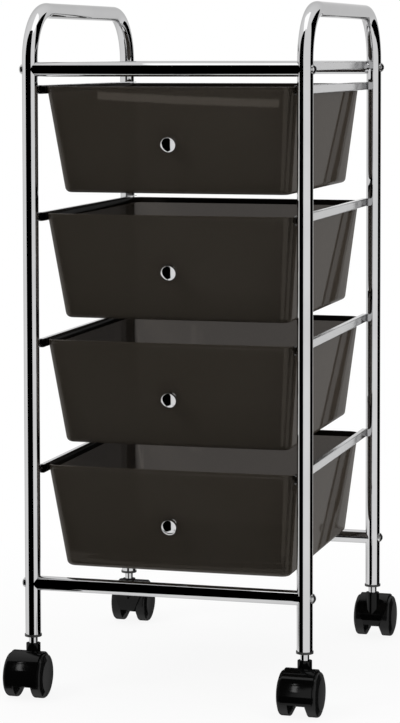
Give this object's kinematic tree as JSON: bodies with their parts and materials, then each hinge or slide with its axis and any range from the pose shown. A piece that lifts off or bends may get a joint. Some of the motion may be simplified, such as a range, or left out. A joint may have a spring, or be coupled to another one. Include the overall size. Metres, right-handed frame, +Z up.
{
  "type": "rolling storage cart",
  "caption": "Rolling cart with bent chrome tube sides that form handle loops, dark plastic drawers that slide on channel rails, and twin-wheel swivel casters",
  "frame": {"origin": "on the floor, under the middle of the cart", "axes": "+X to the cart's right seen from its front, +Y to its rear, +Z up; the drawers pull out along -Y"},
  "size_m": [0.3598, 0.4488, 0.7714],
  "materials": {
    "chrome_tube": "polished, bright",
    "chrome_rail": "plated sheet, bright",
    "insert_plastic": "moulded, matt",
    "chrome_screw": "polished",
    "drawer_plastic": "smooth, smoke tinted, slightly see-through",
    "chrome_knob": "polished, bright",
    "zinc_screw": "zinc plated",
    "socket_plastic": "moulded, matt",
    "chrome_stem": "polished",
    "caster_plastic": "moulded, glossy",
    "steel_axle": "drawn rod",
    "caster_wheel": "moulded, glossy"
  },
  "bodies": {
    "frame": {"left_side_frame": "chrome_tube", "right_side_frame": "chrome_tube", "top_front_bar": "chrome_tube", "top_rear_bar": "chrome_tube", "bottom_front_bar": "chrome_tube", "bottom_rear_bar": "chrome_tube", "left_rail_1": "chrome_rail", "left_rail_2": "chrome_rail", "left_rail_3": "chrome_rail", "left_rail_4": "chrome_rail", "right_rail_1": "chrome_rail", "right_rail_2": "chrome_rail", "right_rail_3": "chrome_rail", "right_rail_4": "chrome_rail", "left_top_rail": "chrome_rail", "right_top_rail": "chrome_rail", "bar_inserts": "insert_plastic", "frame_screws": "chrome_screw", "front_left_socket": "socket_plastic", "front_right_socket": "socket_plastic", "rear_left_socket": "socket_plastic", "rear_right_socket": "socket_plastic", "front_left_stem": "chrome_stem", "front_right_stem": "chrome_stem", "rear_left_stem": "chrome_stem", "rear_right_stem": "chrome_stem"},
    "tray_1": {"drawer_1": "drawer_plastic", "knob_1": "chrome_knob", "knob_screw_1": "zinc_screw"},
    "tray_2": {"drawer_2": "drawer_plastic", "knob_2": "chrome_knob", "knob_screw_2": "zinc_screw"},
    "tray_3": {"drawer_3": "drawer_plastic", "knob_3": "chrome_knob", "knob_screw_3": "zinc_screw"},
    "tray_4": {"drawer_4": "drawer_plastic", "knob_4": "chrome_knob", "knob_screw_4": "zinc_screw"},
    "front_left_fork": {"front_left_hood": "caster_plastic", "front_left_axle": "steel_axle"},
    "front_left_roller_a": {"front_left_wheel_a": "caster_wheel"},
    "front_left_roller_b": {"front_left_wheel_b": "caster_wheel"},
    "front_right_fork": {"front_right_hood": "caster_plastic", "front_right_axle": "steel_axle"},
    "front_right_roller_a": {"front_right_wheel_a": "caster_wheel"},
    "front_right_roller_b": {"front_right_wheel_b": "caster_wheel"},
    "rear_left_fork": {"rear_left_hood": "caster_plastic", "rear_left_axle": "steel_axle"},
    "rear_left_roller_a": {"rear_left_wheel_a": "caster_wheel"},
    "rear_left_roller_b": {"rear_left_wheel_b": "caster_wheel"},
    "rear_right_fork": {"rear_right_hood": "caster_plastic", "rear_right_axle": "steel_axle"},
    "rear_right_roller_a": {"rear_right_wheel_a": "caster_wheel"},
    "rear_right_roller_b": {"rear_right_wheel_b": "caster_wheel"}
  },
  "joints": [
    {"name": "drawer_1_slide", "type": "slide", "parent": "frame", "child": "tray_1", "axis": [0, -1, 0], "range_m": [0, 0.28]},
    {"name": "drawer_2_slide", "type": "slide", "parent": "frame", "child": "tray_2", "axis": [0, -1, 0], "range_m": [0, 0.28]},
    {"name": "drawer_3_slide", "type": "slide", "parent": "frame", "child": "tray_3", "axis": [0, -1, 0], "range_m": [0, 0.28]},
    {"name": "drawer_4_slide", "type": "slide", "parent": "frame", "child": "tray_4", "axis": [0, -1, 0], "range_m": [0, 0.28]},
    {"name": "front_left_swivel", "type": "hinge", "parent": "frame", "child": "front_left_fork", "pos_m": [-0.156, -0.1795, 0.05], "axis": [0, 0, 1], "continuous": true},
    {"name": "front_left_wheel_a_spin", "type": "hinge", "parent": "front_left_fork", "child": "front_left_roller_a", "pos_m": [-0.156, -0.1975, 0.0245], "axis": [1, 0, 0], "continuous": true},
    {"name": "front_left_wheel_b_spin", "type": "hinge", "parent": "front_left_fork", "child": "front_left_roller_b", "pos_m": [-0.156, -0.1975, 0.0245], "axis": [1, 0, 0], "continuous": true},
    {"name": "front_right_swivel", "type": "hinge", "parent": "frame", "child": "front_right_fork", "pos_m": [0.156, -0.1795, 0.05], "axis": [0, 0, 1], "continuous": true},
    {"name": "front_right_wheel_a_spin", "type": "hinge", "parent": "front_right_fork", "child": "front_right_roller_a", "pos_m": [0.156, -0.1975, 0.0245], "axis": [1, 0, 0], "continuous": true},
    {"name": "front_right_wheel_b_spin", "type": "hinge", "parent": "front_right_fork", "child": "front_right_roller_b", "pos_m": [0.156, -0.1975, 0.0245], "axis": [1, 0, 0], "continuous": true},
    {"name": "rear_left_swivel", "type": "hinge", "parent": "frame", "child": "rear_left_fork", "pos_m": [-0.156, 0.1795, 0.05], "axis": [0, 0, 1], "continuous": true},
    {"name": "rear_left_wheel_a_spin", "type": "hinge", "parent": "rear_left_fork", "child": "rear_left_roller_a", "pos_m": [-0.156, 0.1975, 0.0245], "axis": [1, 0, 0], "continuous": true},
    {"name": "rear_left_wheel_b_spin", "type": "hinge", "parent": "rear_left_fork", "child": "rear_left_roller_b", "pos_m": [-0.156, 0.1975, 0.0245], "axis": [1, 0, 0], "continuous": true},
    {"name": "rear_right_swivel", "type": "hinge", "parent": "frame", "child": "rear_right_fork", "pos_m": [0.156, 0.1795, 0.05], "axis": [0, 0, 1], "continuous": true},
    {"name": "rear_right_wheel_a_spin", "type": "hinge", "parent": "rear_right_fork", "child": "rear_right_roller_a", "pos_m": [0.156, 0.1975, 0.0245], "axis": [1, 0, 0], "continuous": true},
    {"name": "rear_right_wheel_b_spin", "type": "hinge", "parent": "rear_right_fork", "child": "rear_right_roller_b", "pos_m": [0.156, 0.1975, 0.0245], "axis": [1, 0, 0], "continuous": true}
  ]
}
